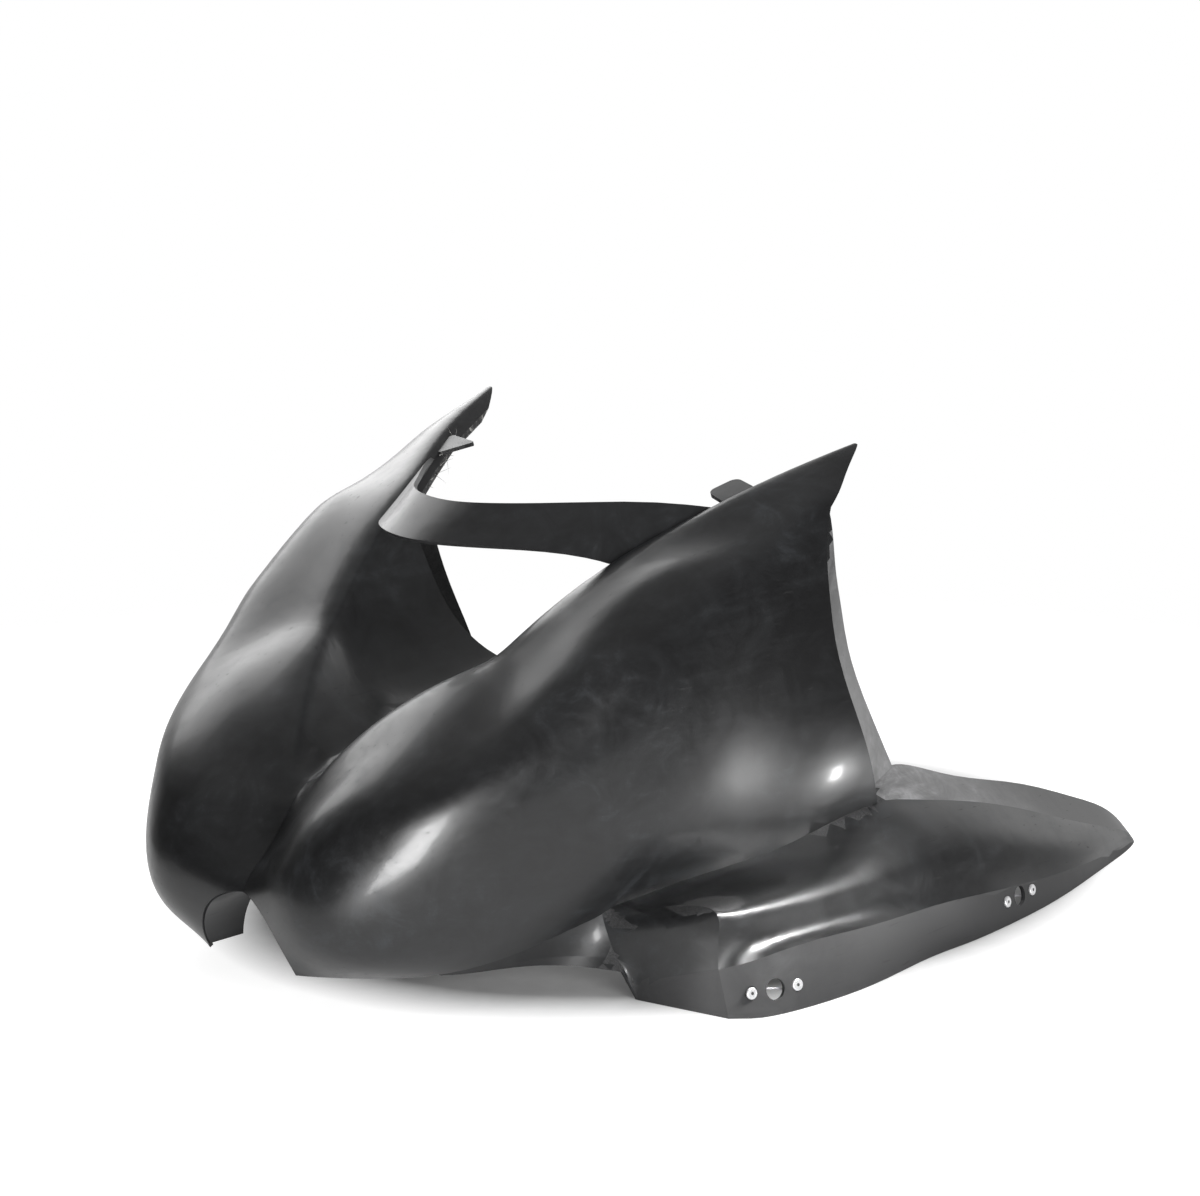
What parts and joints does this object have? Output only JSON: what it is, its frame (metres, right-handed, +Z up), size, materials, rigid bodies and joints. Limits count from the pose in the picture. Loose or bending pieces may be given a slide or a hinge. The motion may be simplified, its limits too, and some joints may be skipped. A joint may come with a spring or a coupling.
{
  "type": "motorcycle upper fairing",
  "caption": "Black moulded upper race fairing with a deep central air intake between two lobes, a screen band, side wings with quarter-turn fastener holes and an arch under the nose.",
  "frame": {"origin": "on the floor under the middle of the bounding box; the shell stands on the lower edges of its two wings", "axes": "-Y forward along the motorcycle, +X to the rider's left, +Z up"},
  "size_m": [0.5556, 0.7096, 0.3364],
  "materials": {
    "gelcoat": "black gelcoat over glass fibre, satin gloss with light smudges and scratches",
    "rivet": "dull aluminium blind rivets",
    "spring": "drawn steel wire"
  },
  "bodies": {
    "root": {"fairing_shell": "gelcoat", "rivets": "rivet", "front_spring_left": "spring", "front_spring_right": "spring", "rear_spring_left": "spring", "rear_spring_right": "spring"}
  },
  "joints": []
}
